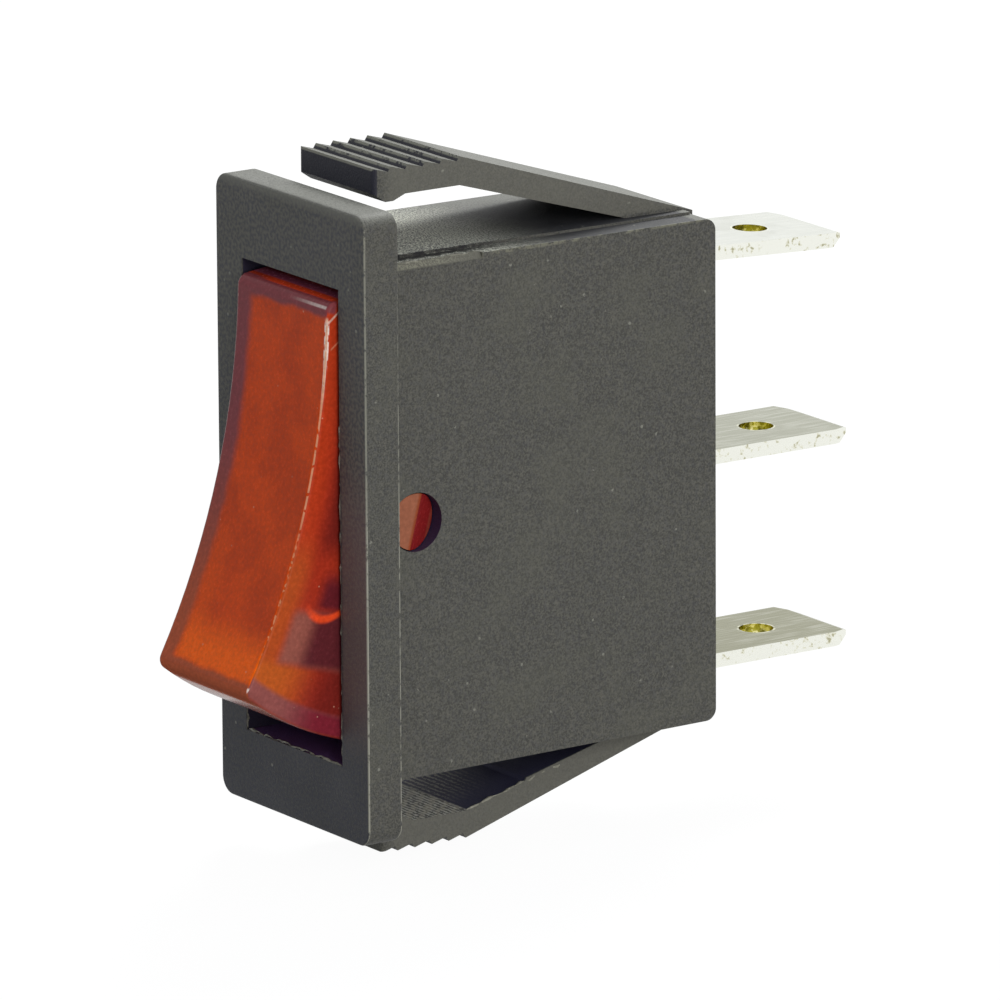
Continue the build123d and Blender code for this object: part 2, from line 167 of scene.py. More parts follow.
# %% Zones
def paint(tree, base, measures, zones):
    """Lays zones of colour over a base colour and returns the result's socket."""
    for code, strength, limits in zones:
        cover = strength
        for measure, start, full in limits:
            fade = add(tree, "ShaderNodeMapRange", {"interpolation_type": "SMOOTHSTEP"},
                       Value=measures[measure], From_Min=start, From_Max=full)
            cover = add(tree, "ShaderNodeMath", {"operation": "MULTIPLY"}, N0=fade.outputs[0], N1=cover)
            cover = cover.outputs[0]
        base = add(tree, "ShaderNodeMix", {"data_type": "RGBA"}, N0=cover, N6=base, N7=colour(code))
        base = base.outputs[2]
    return base


def place_measures(tree, place):
    """The measures that every zone may use: the three coordinates and which way a face looks."""
    parts = add(tree, "ShaderNodeSeparateXYZ", Vector=place).outputs
    facing = add(tree, "ShaderNodeSeparateXYZ", Vector=add(tree, "ShaderNodeNewGeometry").outputs["Normal"])
    facing = facing.outputs
    side = add(tree, "ShaderNodeMath", {"operation": "ABSOLUTE"}, N0=parts[0])
    tall = add(tree, "ShaderNodeMath", {"operation": "ABSOLUTE"}, N0=parts[2])
    sideways = add(tree, "ShaderNodeMath", {"operation": "ABSOLUTE"}, N0=facing[0])
    return {"x": parts[0], "y": parts[1], "z": parts[2], "side": side.outputs[0], "tall": tall.outputs[0],
            "right": facing[0], "rear": facing[1], "up": facing[2], "sideways": sideways.outputs[0]}


# %% [markdown]
# ## Black nylon
#
# The housing is one injection moulding of black nylon 6/6. Its mould was spark-eroded, and the fine pits leave
# a matt grain that scatters light, so the black reads as a dark warm grey. It could be painted in an image,
# but noise holds at any distance. The real pits are a few hundredths of a millimetre wide, so the grain is
# drawn 0.1 mm wide to show. Milling marks, chips and dust have patterns of their own, used by the zones below.

# %% Black nylon
grain_width = 0.1
tint_width = 0.2
chip_width = 0.5
dust_spacing = 1.1
cloud_width = 3.5
mill_pitch = 0.2732
cross_pitch = 0.6046
band_unit = math.pi / 10                        # straight bands of scale 1 repeat after this length
diagonal_unit = band_unit * 2 / math.sqrt(3)    # and diagonal ones after this one


def black_nylon(zones):
    material, tree, place = new_material("black_nylon")
    grain = add(tree, "ShaderNodeTexNoise", Vector=place, Scale=1 / grain_width, Detail=2.0, Roughness=0.6)
    cloud = add(tree, "ShaderNodeTexNoise", Vector=place, Scale=1 / cloud_width, Detail=2.0)
    tint = add(tree, "ShaderNodeTexNoise", Vector=place, Scale=1 / tint_width, Detail=2.0)
    dust = add(tree, "ShaderNodeTexVoronoi", Vector=place, Scale=1 / dust_spacing)
    chips = add(tree, "ShaderNodeTexNoise", Vector=place, Scale=1 / chip_width, Detail=3.0, Roughness=0.7)
    milled = add(tree, "ShaderNodeTexWave", {"bands_direction": "Y"}, Vector=place,
                 Scale=band_unit / mill_pitch, Distortion=3.2, Detail=3.0, Detail_Scale=3.0)
    crossed = add(tree, "ShaderNodeTexWave", {"bands_direction": "DIAGONAL"}, Vector=place,
                  Scale=diagonal_unit / cross_pitch, Distortion=4.0, Detail=2.0, Detail_Scale=3.0)
    measures = place_measures(tree, place)
    measures |= {"grain": grain.outputs[0], "cloud": cloud.outputs[0], "tint": tint.outputs[0],
                 "dust": dust.outputs["Distance"], "chips": chips.outputs[0], "milled": milled.outputs[1],
                 "crossed": crossed.outputs[1]}
    wavy = add(tree, "ShaderNodeMath", {"operation": "MULTIPLY_ADD"}, N0=chips.outputs[0], N1=1.4,
               N2=measures["x"])
    measures["x_wavy"] = wavy.outputs[0]
    base = paint(tree, colour("#3d3d3a"), measures, zones)
    pits = add(tree, "ShaderNodeBump", Height=grain.outputs[0], Strength=0.5, Distance=0.05 * mm)
    gloss = add(tree, "ShaderNodeMapRange", Value=cloud.outputs[0], To_Min=0.5, To_Max=0.68)
    shader = add(tree, "ShaderNodeBsdfPrincipled", Base_Color=base, Roughness=gloss.outputs[0], IOR=1.53,
                 Specular_IOR_Level=0.22, Normal=pits.outputs[0])
    finish_material(tree, shader)
    return material


# %% [markdown]
# ## Where the nylon is dusty, worn, or painted with light and shade
#
# Dust and painted light from above make faces that look up much paler. Painted shade darkens the front's lower
# part, the walls of the opening and what lies under the upper arm. The bezel's sharp edges carry painted
# highlights as pale broken lines, and the mould's milling marks show inside the lower arm. The lists of limits
# come first: each picks one place of the housing, so that a zone below reads as a place and what is seen
# there.

# %% Zones of the housing
front_face = [("rear", -0.6, -0.9), ("y", -2.0, -2.15)]
in_opening = [("side", 4.7, 4.64), ("tall", 12.96, 12.92), ("y", -2.16, -2.08), ("y", 3.0, 1.0)]
pivot_holes = [("sideways", 0.5, 0.2), ("tall", 1.75, 1.65), ("y", 0.2, 0.25), ("y", 3.8, 3.6)]
box_top = [("z", 14.35, 14.25), ("z", 13.7, 13.8)]
under_upper_arm = [("up", 0.5, 0.9), ("z", 13.5, 13.6), ("z", 14.3, 14.2), ("y", 20.2, 19.8)]
behind_first_crest = [("y", 0.5, 0.7)]
upper_teeth = [("z", 16.3, 16.4), *behind_first_crest]
lower_arm_inside = [("up", 0.5, 0.9), ("z", -14.6, -15.2)]
lower_arm_head = [*lower_arm_inside, ("y", 6.5, 6.3)]
torn_chamfer = [("x", 5.22, 5.32), ("y", -0.02, 0.02)]

nylon_zones = [
    ("#62615a", 1.0, [("grain", 0.32, 0.68)]),
    ("#3c3e46", 0.3, [("tint", 0.45, 0.65)]),
    ("#606056", 0.25, [("cloud", 0.45, 0.7)]),
    # the front: blotchy, bluish as painted shade, and paler towards its upper end and darker towards its lower
    # end as painted light and shade
    ("#2c3040", 0.4, [*front_face, ("tint", 0.42, 0.62)]),
    ("#6c6b64", 0.4, [*front_face, ("tint", 0.56, 0.36), ("z", -6.0, 4.0)]),
    ("#1f2332", 0.52, [*front_face, ("z", -7.0, -13.0)]),
    # the strip beside the rocker: painted red light from the rocker
    ("#8c7472", 0.3, [*front_face, ("x", 4.7, 4.9), ("z", 5.0, -1.0), ("z", -13.0, -8.0)]),
    # the snap arms' sides that face +X: painted paler as painted light
    ("#6e6d65", 0.5, [("right", 0.5, 0.9), ("tall", 14.1, 14.3), ("y", 1.0, 2.0)]),
    # faces that look up: dust together with painted light from above; on the box's top just behind the bezel
    # the grain is painted pale as a highlight of grazing light
    ("#75766f", 0.92, [("up", 0.3, 0.95), ("grain", 0.15, 0.6)]),
    ("#e6e7d6", 0.95, [("up", 0.6, 0.95), ("grain", 0.43, 0.6), *box_top, ("y", 12.0, 5.0)]),
    # painted shadow under the upper arm, painted shade on the walls of the opening and in the pivot holes, and
    # a paler purple as painted light where the opening's lower wall looks up
    ("#11131f", 0.86, [*under_upper_arm, ("y", 7.0, 13.0), ("x", -4.5, -1.0)]),
    ("#1e1832", 0.9, in_opening),
    ("#5a4274", 0.9, [*in_opening, ("z", -9.0, -11.0), ("up", 0.3, 0.7)]),
    ("#332448", 0.9, pivot_holes),
    # the teeth: mottled slopes, steep faces darkened as painted shade, and worn pale crests
    ("#4c4c46", 0.4, [("up", 0.5, 0.8), *upper_teeth, ("y", 7.8, 7.4), ("tint", 0.4, 0.56)]),
    ("#171826", 0.92, [("rear", -0.1, -0.3), *upper_teeth]),
    ("#8c8c80", 0.9, [("rear", -0.6, -0.78), ("z", 18.6, 18.68), *behind_first_crest, ("chips", 0.34, 0.5)]),
    ("#8a897e", 0.9, [("rear", -0.9, -0.97), ("z", 18.58, 18.66), *behind_first_crest]),
    # the bezel's upper front edge: painted light on the front just below it and painted shade on the top just
    # behind it, so that it looks rounded
    ("#75756c", 0.6, [*front_face, ("z", 16.5, 17.0)]),
    ("#4a4a44", 0.7, [("up", 0.6, 0.95), ("y", -1.75, -2.15), ("z", 16.7, 16.9)]),
    # single pale specks everywhere
    ("#8e8e84", 0.7, [("dust", 0.1, 0.06), ("chips", 0.5, 0.56)]),
    # painted highlights as pale broken lines: on the bezel's front edge, the opening's near edge, then the
    # bezel's rear edge
    ("#9c9b8e", 0.7, [("x", 7.0, 7.05), ("y", -2.1, -2.15), ("chips", 0.32, 0.45)]),
    ("#c4c3b4", 0.8, [("x", 4.8, 5.0), ("rear", -0.8, -0.5), ("y", -2.1, -2.15), ("chips", 0.36, 0.5),
                      ("z", 4.0, -2.0)]),
    ("#aeada0", 0.85, [("x", 6.9, 7.02), ("y", -0.22, -0.1), ("chips", 0.42, 0.5), ("z", 22.0, -4.0)]),
    ("#a3a294", 0.7, [("right", 0.1, 0.3), ("z", -16.1, -16.4), ("y", -0.3, -0.15), ("y", 0.1, 0.05),
                      ("chips", 0.38, 0.46)]),
    # the lower arm's inner side: painted shade further back; in front a paler tone as painted light, with pale
    # milling marks of the mould that fade into the painted shade towards +X
    ("#16163c", 0.9, [("up", -0.3, -0.1), ("side", 3.5, 3.42), ("z", -14.2, -14.6), ("y", 6.3, 6.5)]),
    ("#5c5b58", 0.9, lower_arm_head),
    ("#d0d0c6", 0.9, [*lower_arm_head, ("milled", 0.35, 0.7), ("tint", 0.34, 0.48)]),
    ("#c4c0ac", 0.4, [*lower_arm_head, ("crossed", 0.55, 0.85)]),
    ("#a5a396", 0.8, [*lower_arm_inside, ("y", 6.3, 6.5), ("y", 10.0, 6.8), ("x", 3.0, -2.5),
                      ("milled", 0.45, 0.75), ("tint", 0.34, 0.5)]),
    # upper edge of the box: a dark ragged groove and a torn pale chamfer
    ("#15151a", 0.92, [("z", 13.8, 13.9), ("x_wavy", 4.7, 5.0), ("x_wavy", 5.7, 5.4), ("y", 10.5, 5.0),
                       ("y", 0.0, 0.2)]),
    ("#5f5e55", 0.9, [*torn_chamfer, ("z", 13.62, 13.7), ("y", 6.4, 6.2)]),
    ("#8e8d7c", 0.6, [*torn_chamfer, ("z", 13.66, 13.74), ("y", 6.4, 3.0), ("grain", 0.4, 0.6)]),
    ("#7d7c6c", 0.7, [("x", 5.5, 5.62), ("z", 13.72, 13.82), ("y", 6.2, 7.5), ("chips", 0.45, 0.55)]),
]
print("zones on the housing:", len(nylon_zones))
assign(black_nylon(nylon_zones), "housing")

# %% [markdown]
# ## Red rocker
#
# The rocker is injection-moulded from clear red polycarbonate over a white lamp carrier. Light goes into it
# and comes back from what lies behind: orange where the carrier is near, dark where a wall stands on edge.
# True glass with all of that behind it would need thousands of samples, so the depths are painted as zones on
# the surface, in the rocker's own measures: x across, h along, d before and behind the pivot, f behind the
# concave front, u behind its corners and e in from its ends. Two more follow the bright bow of the lamp and
# the slant of a scratch. The numbers here are sizes of the rocker in millimetres.

# %% The rocker's own measures
rocker_tilt = math.radians(14.8)
pivot_depth = 1.92
corner_reach = 7.55         # front corners before the pivot
half_height = 10.5          # front corners above and below it
hollow = 1.28               # how deep the front curves in between them
end_slope = 0.4725          # how the ends widen behind the corners, and how that bends back
end_bend = -0.0338
bow_middle = 2.85           # the bright bow's middle, behind the front
bow_drop = 5.92             # and below the pivot
bow_bend = -0.4             # how its ends turn back up
scratch_slant = (0.71, -0.7)
side_start = 4.26           # the flat side faces lie further out than this


def rocker_measures(tree, place):
    """The rocker's own measures, turned with its rest tilt about the pivot."""
    back = (0, -pivot_depth * math.cos(rocker_tilt), -pivot_depth * math.sin(rocker_tilt))
    own = add(tree, "ShaderNodeMapping", Vector=place, Location=back, Rotation=(rocker_tilt, 0, 0)).outputs[0]
    x, depth, height = add(tree, "ShaderNodeSeparateXYZ", Vector=own).outputs
    square = add(tree, "ShaderNodeMath", {"operation": "MULTIPLY"}, N0=height, N1=height).outputs[0]
    dish = add(tree, "ShaderNodeMath", {"operation": "MULTIPLY_ADD"}, N0=square, N1=hollow / half_height ** 2,
               N2=corner_reach - hollow).outputs[0]
    behind = add(tree, "ShaderNodeMath", {"operation": "ADD"}, N0=depth, N1=dish).outputs[0]
    reach = add(tree, "ShaderNodeMath", {"operation": "ADD"}, N0=depth, N1=corner_reach).outputs[0]
    curve = add(tree, "ShaderNodeMath", {"operation": "MULTIPLY_ADD"}, N0=reach, N1=end_bend,
                N2=end_slope).outputs[0]
    length = add(tree, "ShaderNodeMath", {"operation": "MULTIPLY_ADD"}, N0=reach, N1=curve,
                 N2=half_height).outputs[0]
    far = add(tree, "ShaderNodeMath", {"operation": "ABSOLUTE"}, N0=height).outputs[0]
    end = add(tree, "ShaderNodeMath", {"operation": "SUBTRACT"}, N0=length, N1=far).outputs[0]
    offset = add(tree, "ShaderNodeMath", {"operation": "SUBTRACT"}, N0=behind, N1=bow_middle).outputs[0]
    bow = add(tree, "ShaderNodeMath", {"operation": "MULTIPLY"}, N0=offset, N1=offset).outputs[0]
    bow = add(tree, "ShaderNodeMath", {"operation": "MULTIPLY_ADD"}, N0=bow, N1=bow_bend, N2=bow_drop)
    bow = add(tree, "ShaderNodeMath", {"operation": "ADD"}, N0=bow.outputs[0], N1=height).outputs[0]
    bow = add(tree, "ShaderNodeMath", {"operation": "ABSOLUTE"}, N0=bow).outputs[0]
    fall = add(tree, "ShaderNodeMath", {"operation": "MULTIPLY"}, N0=height, N1=scratch_slant[1]).outputs[0]
    slant = add(tree, "ShaderNodeMath", {"operation": "MULTIPLY_ADD"}, N0=behind, N1=scratch_slant[0],
                N2=fall).outputs[0]
    return own, {"x": x, "d": depth, "h": height, "f": behind, "u": reach, "e": end, "bow": bow,
                 "slant": slant}


print("rocker turned back by", round(math.degrees(rocker_tilt), 1), "degrees for its zones")

# %% [markdown]
# ## What shows through the red
#
# The lists of limits name the places first: the face, the orange field on it, the wall at the lower end, the
# pins and the bare end faces. The zones then run from the side, where the lamp shows as a dark block with a
# bright bow, to the front, the ends, the pins and the edges. The edges carry painted highlights, with some
# wear, as pale broken lines.

# %% Zones of the rocker
face = ("ff", 0.4, 0.12)
field = [face, ("x_soft", -3.1, -2.3), ("e_soft", 0.8, 1.25)]
low_wall = [("e", 1.35, 0.95), ("h", 0, -1)]
top_end = ("h", 10.2, 10.4)
within_sides = ("side", 4.28, 4.16)
pins = ("side", 4.8, 5.0)

rocker_zones = [
    # side: orange near the front, dark red further back
    ("#bc3c1c", 0.9, [("f", 1.6, 0.3)]),
    ("#6e201c", 0.85, [("f", 0.9, 2.1), ("h", -3.2, -1.4)]),
    ("#b4501f", 0.8, [("f", 1.8, 0.5), ("h", -1.0, -4.0)]),
    # orange light below the dark block
    ("#c05a20", 0.95, [("h", -8.1, -8.9), ("f", 4.4, 1.4)]),
    ("#74221e", 0.9, [("h", -8.1, -8.9), ("f", 2.6, 5.2)]),
    # the lamp's dark block, its blob and the bright bow under it
    ("#96564a", 0.95, [("f", 0.75, 1.45), ("h", -5.3, -6.0), ("h", -8.8, -8.2)]),
    ("#5a2028", 0.95, [("f", 1.9, 3.1), ("h", -5.3, -5.9), ("h", -8.9, -8.2)]),
    ("#5a1d28", 0.9, [("f", 1.9, 2.9), ("h", -5.7, -5.1), ("h", -2.9, -4.3)]),
    ("#f04e24", 0.95, [("bow", 0.34, 0.08), ("f", 1.4, 2.6)]),
    # wall at the bottom end
    ("#8c5050", 0.9, low_wall),
    ("#7c1c2e", 0.9, [*low_wall, ("f", 2.2, 5.0)]),
    ("#b04428", 0.4, [("e", 0.2, 0.08), ("h", 0, -1)]),
    # front: walls seen through the face, then the orange field between them
    ("#863f44", 1.0, [face]),
    ("#b4542e", 0.9, [face, ("h", 4.0, -9.0)]),
    ("#d84a0b", 1.0, field),
    ("#c2400b", 0.8, [*field, ("cloud", 0.42, 0.62)]),
    ("#e1520a", 0.7, [*field, ("x_soft", -0.4, -2.0), ("h", -1.0, -7.0)]),
    ("#fc660c", 1.0, [*field, ("h_soft", -6.4, -8.8)]),
    # top end: a bright red strip of painted light on the rounding, dark wall behind it
    ("#863f44", 1.0, [("h", 10.0, 10.2), ("u", 0.7, 0.5)]),
    ("#e04824", 0.95, [("u", 0.38, 0.48), top_end, ("x", -3.2, -1.6), ("x", 4.3, 3.8)]),
    ("#a85268", 0.97, [("u", 0.82, 0.95), top_end, ("u", 1.9, 1.3)]),
    ("#8e2c22", 0.95, [("u", 1.3, 1.9), ("h", 10.4, 10.6), within_sides]),
    # bottom end, rubbed matt by the finger that presses it
    ("#bc6040", 1.0, [("h", -10.15, -10.35), within_sides, ("u", 3.0, 1.5)]),
    # pivot pins
    ("#9c6048", 1.0, [pins]),
    ("#841f20", 1.0, [pins, ("d", -0.02, 0.06)]),
    ("#8e3c1a", 0.8, [pins, ("d", -0.2, -0.02), ("d", 0.1, 0.0)]),
    # painted highlights on the edges, with some wear: on the near edge a solid pale line above and dashes
    # below, then the near edge's lowest end and the far edge
    ("#f6e6dc", 0.9, [("x", 4.1, 4.15), ("f", 0.18, 0.13), ("h", 7.0, 8.0), ("h", 9.7, 9.4),
                      ("dash", 0.38, 0.5)]),
    ("#f0d8c8", 0.9, [("x", 4.17, 4.21), ("f", 0.12, 0.08), ("h", 4.5, 7.0), ("h", 9.9, 9.6),
                      ("dash", 0.26, 0.36)]),
    ("#dca07c", 0.85, [("x", 4.2, 4.24), ("f", 0.1, 0.06), ("h", -3.5, 0.0), ("h", 9.9, 9.6),
                       ("dash", 0.36, 0.44)]),
    ("#d8946c", 0.8, [("x", 4.2, 4.24), ("f", 0.1, 0.06), ("h", -1.0, -3.0), ("h", -8.8, -7.0),
                      ("dash", 0.5, 0.56)]),
    ("#f0e0d8", 0.9, [("x", 4.18, 4.22), ("f", 0.12, 0.07), ("h", -10.0, -10.15)]),
    ("#b08880", 0.6, [("x", -4.12, -4.2), ("f", 0.3, 0.15), ("dash", 0.35, 0.5)]),
    # a thin painted highlight on the upper end's edge and two scratches near the upper corner
    ("#dccac2", 0.8, [("h", 10.2, 10.28), ("h", 10.44, 10.36), ("f", 0.3, 0.15), ("x", 0.4, 3.9),
                      ("x", 4.2, 4.06)]),
    ("#e0b8a8", 0.8, [("side", 4.1, 4.2), ("slant", -6.72, -6.66), ("slant", -6.56, -6.62), ("f", 0.9, 0.7)]),
    ("#d88868", 0.7, [("x", 4.2, 4.3), ("slant", -5.6, -5.55), ("slant", -5.47, -5.52), ("f", 0.9, 0.75),
                      ("f", 0.25, 0.35)]),
    # tiny pale scratches and dust
    ("#d8a890", 0.6, [("dust", 0.085, 0.05), ("wander", 0.5, 0.6)]),
]
print("zones on the rocker:", len(rocker_zones))

# %% [markdown]
# ## The red's own finish
#
# The zones' soft edges wander a little, because the light inside spreads unevenly. So a slow noise is added to
# the measures that end a zone on the front, and a second noise mottles the whole colour. A polished, slightly
# uneven skin lies over them, dull only at the lower end, where the finger rubs it.

# %% Rocker finish
wander_width = 1.6
wander_reach = 0.5          # how far a soft edge strays
glow_width = 2.5
dash_width = 0.35
speck_spacing = 0.8
mottle_width = 0.22
ripple_width = 1.2


def red_polycarbonate():
    material, tree, place = new_material("red_polycarbonate")
    own, measures = rocker_measures(tree, place)
    wander = add(tree, "ShaderNodeTexNoise", Vector=own, Scale=1 / wander_width, Detail=2.0).outputs[0]
    measures["wander"] = wander
    for name in ("x", "e", "h"):
        soft = add(tree, "ShaderNodeMath", {"operation": "MULTIPLY_ADD"}, N0=wander, N1=wander_reach,
                   N2=measures[name])
        measures[name + "_soft"] = soft.outputs[0]
    measures["side"] = add(tree, "ShaderNodeMath", {"operation": "ABSOLUTE"}, N0=measures["x"]).outputs[0]
    # ff is f, kept large on the side faces, so that a zone of the front doesn't reach them
    turned = add(tree, "ShaderNodeMath", {"operation": "GREATER_THAN"}, N0=measures["side"], N1=side_start)
    measures["ff"] = add(tree, "ShaderNodeMath", {"operation": "ADD"}, N0=measures["f"],
                         N1=turned.outputs[0]).outputs[0]
    cloud = add(tree, "ShaderNodeTexNoise", Vector=own, Scale=1 / glow_width, Detail=3.0)
    dash = add(tree, "ShaderNodeTexNoise", Vector=own, Scale=1 / dash_width, Detail=1.0)
    dust = add(tree, "ShaderNodeTexVoronoi", Vector=own, Scale=1 / speck_spacing)
    measures |= {"cloud": cloud.outputs[0], "dash": dash.outputs[0], "dust": dust.outputs["Distance"]}
    mottle = add(tree, "ShaderNodeTexNoise", Vector=own, Scale=1 / mottle_width, Detail=2.0).outputs[0]
    base = paint(tree, colour("#a8321e"), measures, rocker_zones)
    shade = add(tree, "ShaderNodeMapRange", Value=mottle, From_Min=0.3, From_Max=0.7, To_Min=0.87, To_Max=1.13)
    base = add(tree, "ShaderNodeVectorMath", {"operation": "SCALE"}, Vector=base, Scale=shade.outputs[0])
    ripple = add(tree, "ShaderNodeTexNoise", Vector=own, Scale=1 / ripple_width, Detail=2.0).outputs[0]
    skin = add(tree, "ShaderNodeBump", Height=ripple, Strength=0.3, Distance=0.02 * mm)
    gloss = add(tree, "ShaderNodeMapRange", Value=mottle, To_Min=0.16, To_Max=0.34).outputs[0]
    rubbed = add(tree, "ShaderNodeMapRange", Value=measures["h"], From_Min=-10.1, From_Max=-10.4, To_Max=0.7)
    within = add(tree, "ShaderNodeMapRange", Value=measures["u"], From_Min=1.3, From_Max=0.7)
    gloss = add(tree, "ShaderNodeMath", {"operation": "MULTIPLY_ADD"}, N0=rubbed.outputs[0],
                N1=within.outputs[0], N2=gloss)
    shader = add(tree, "ShaderNodeBsdfPrincipled", Base_Color=base.outputs[0], Roughness=gloss.outputs[0],
                 IOR=1.58, Specular_IOR_Level=0.06, Normal=skin.outputs[0])
    finish_material(tree, shader)
    return material


assign(red_polycarbonate(), "rocker")

# %% [markdown]
# ## Tin-plated brass
#
# The three tabs are stamped from brass strip and plated with matt tin, which is pale and faintly yellow. The
# stamped edges that face +X and +Y are painted near white as painted light and pitted with dark specks, and
# the wall of the punched hole shows bare brass with painted glints, inside a thin burr painted bright as a
# highlight. Each tab has its own tone as painted light and shade: palest on the upper tab, darkest on the
# lowest.

# %% Tin plate
def tin_plate(name, face, hole_depth):
    material, tree, place = new_material(name)
    measures = place_measures(tree, place)
    rolled = add(tree, "ShaderNodeMapping", Vector=place, Scale=(4.0, 0.3, 1.0)).outputs[0]
    streak = add(tree, "ShaderNodeTexNoise", Vector=rolled, Scale=1.5, Detail=3.0).outputs[0]
    pit = add(tree, "ShaderNodeTexNoise", Vector=place, Scale=1 / 0.3, Detail=2.0).outputs[0]
    cloud = add(tree, "ShaderNodeTexNoise", Vector=place, Scale=1 / 2.0, Detail=2.0).outputs[0]
    flat = add(tree, "ShaderNodeMapping", Vector=place, Location=(0, -hole_depth, 0), Scale=(1, 1, 0))
    ring = add(tree, "ShaderNodeVectorMath", {"operation": "LENGTH"}, N0=flat.outputs[0]).outputs["Value"]
    measures |= {"streak": streak, "pit": pit, "cloud": cloud, "ring": ring}
    base = paint(tree, colour(face), measures, [
        ("#f4f5f0", 0.18, [("streak", 0.45, 0.7)]),
        ("#8c8c78", 0.15, [("cloud", 0.5, 0.7)]),
        # the edges that face +X and +Y: painted near white as painted light
        ("#f0f1e8", 0.95, [("right", 0.5, 0.8)]),
        ("#eef0e6", 0.6, [("rear", 0.5, 0.8)]),
        ("#d4d2b8", 0.6, [("right", 0.5, 0.8), ("pit", 0.58, 0.64)]),
        ("#98946e", 0.7, [("right", 0.5, 0.8), ("pit", 0.66, 0.7)]),
        # a thin burr round the hole, painted bright as a highlight, then the hole's bare brass wall with
        # painted glints
        ("#f4f4d8", 0.7, [("ring", 1.08, 1.02), ("ring", 0.93, 0.97), ("pit", 0.44, 0.56)]),
        ("#b2ac46", 1.0, [("ring", 0.98, 0.955), ("up", 0.6, 0.4)]),
        ("#fbf4b8", 0.8, [("ring", 0.98, 0.955), ("up", 0.6, 0.4), ("pit", 0.5, 0.56)]),
    ])
    gloss = add(tree, "ShaderNodeMapRange", Value=streak, To_Min=0.15, To_Max=0.24)
    relief = add(tree, "ShaderNodeBump", Height=pit, Strength=0.25, Distance=0.02 * mm)
    shader = add(tree, "ShaderNodeBsdfPrincipled", Base_Color=base, Roughness=gloss.outputs[0], Metallic=1.0,
                 Normal=relief.outputs[0])
    finish_material(tree, shader)
    return material


# each tab's tone is painted light and shade: palest on the upper tab, darker on the two below it
for name, tab, face, hole_depth in (("upper_tin", "switched_terminal", "#d2d5cc", 27.374),
                                    ("middle_tin", "common_terminal", "#93957f", 27.8),
                                    ("lower_tin", "lamp_terminal", "#7c7c59", 27.8)):
    assign(tin_plate(name, face, hole_depth), tab)

# %% [markdown]
# ## Inner mouldings
#
# The lamp carrier and the plunger are natural nylon, a milky white that lets a little light in. They sit
# inside the housing and hardly show, but a switch taken apart on a table has them in plain view, so they get
# a fine mould grain and a slow yellowish cloud.

# %% Natural nylon
def natural_nylon():
    material, tree, place = new_material("natural_nylon")
    grain = add(tree, "ShaderNodeTexNoise", Vector=place, Scale=1 / 0.2, Detail=2.0).outputs[0]
    cloud = add(tree, "ShaderNodeTexNoise", Vector=place, Scale=1 / 2.0, Detail=2.0).outputs[0]
    base = paint(tree, colour("#dcd8cc"), {"cloud": cloud, "grain": grain}, [
        ("#cfc8b4", 0.8, [("cloud", 0.4, 0.65)]),
        ("#e6e3da", 0.5, [("grain", 0.5, 0.7)]),
    ])
    relief = add(tree, "ShaderNodeBump", Height=grain, Strength=0.3, Distance=0.02 * mm)
    gloss = add(tree, "ShaderNodeMapRange", Value=cloud, To_Min=0.4, To_Max=0.55)
    shader = add(tree, "ShaderNodeBsdfPrincipled", Base_Color=base, Roughness=gloss.outputs[0], IOR=1.53,
                 Subsurface_Weight=0.1, Subsurface_Scale=0.3 * mm, Normal=relief.outputs[0])
    finish_material(tree, shader)
    return material


assign(natural_nylon(), "lamp_carrier", "plunger")

# %% [markdown]
# ## Lamp glass and resistor
#
# The neon lamp is soda glass with a smoky dark deposit near its seal. The resistor is a carbon film body in
# beige lacquer with painted colour bands, which are rings along its own axis: the axis leans with the
# rocker, so the coordinates are turned by the rest tilt first.

# %% Lamp glass and resistor
def lamp_glass():
    material, tree, place = new_material("soda_glass")
    own, measures = rocker_measures(tree, place)
    smoke = add(tree, "ShaderNodeTexNoise", Vector=own, Scale=1 / 1.0, Detail=2.0).outputs[0]
    base = paint(tree, colour("#f0f4f2"), measures | {"smoke": smoke}, [
        ("#9a958c", 0.7, [("h", -6.5, -9.0), ("smoke", 0.35, 0.6)]),
    ])
    gloss = add(tree, "ShaderNodeMapRange", Value=smoke, To_Min=0.02, To_Max=0.1)
    shader = add(tree, "ShaderNodeBsdfPrincipled", Base_Color=base, Roughness=gloss.outputs[0], IOR=1.5,
                 Transmission_Weight=1.0)
    finish_material(tree, shader)
    return material


def resistor_lacquer():
    material, tree, place = new_material("beige_lacquer")
    own, measures = rocker_measures(tree, place)
    cloud = add(tree, "ShaderNodeTexNoise", Vector=own, Scale=1 / 0.7, Detail=3.0).outputs[0]
    zones = [("#b89c70", 0.7, [("cloud", 0.4, 0.65)])]
    for low, code in ((4.3, "#6b3f22"), (5.2, "#3a2a22"), (6.1, "#c8a020"), (7.6, "#b08a3c")):
        zones.append((code, 0.95, [("h", low, low + 0.05), ("h", low + 0.45, low + 0.4)]))
    base = paint(tree, colour("#ccb48a"), measures | {"cloud": cloud}, zones)
    relief = add(tree, "ShaderNodeBump", Height=cloud, Strength=0.3, Distance=0.05 * mm)
    shader = add(tree, "ShaderNodeBsdfPrincipled", Base_Color=base, Roughness=0.35, IOR=1.5,
                 Normal=relief.outputs[0])
    finish_material(tree, shader)
    return material


assign(lamp_glass(), "neon_bulb")
assign(resistor_lacquer(), "resistor")

# %% [markdown]
# ## Inner metals
#
# The rest is metal: nickel electrodes, tinned copper leads, solder, spring wire, a brass blade and silver
# contacts. They share one way of making: a tone that changes from light to dark along fine marks, drawn long
# for wire and strip and round for solder and rivets, with a roughness that follows the marks.

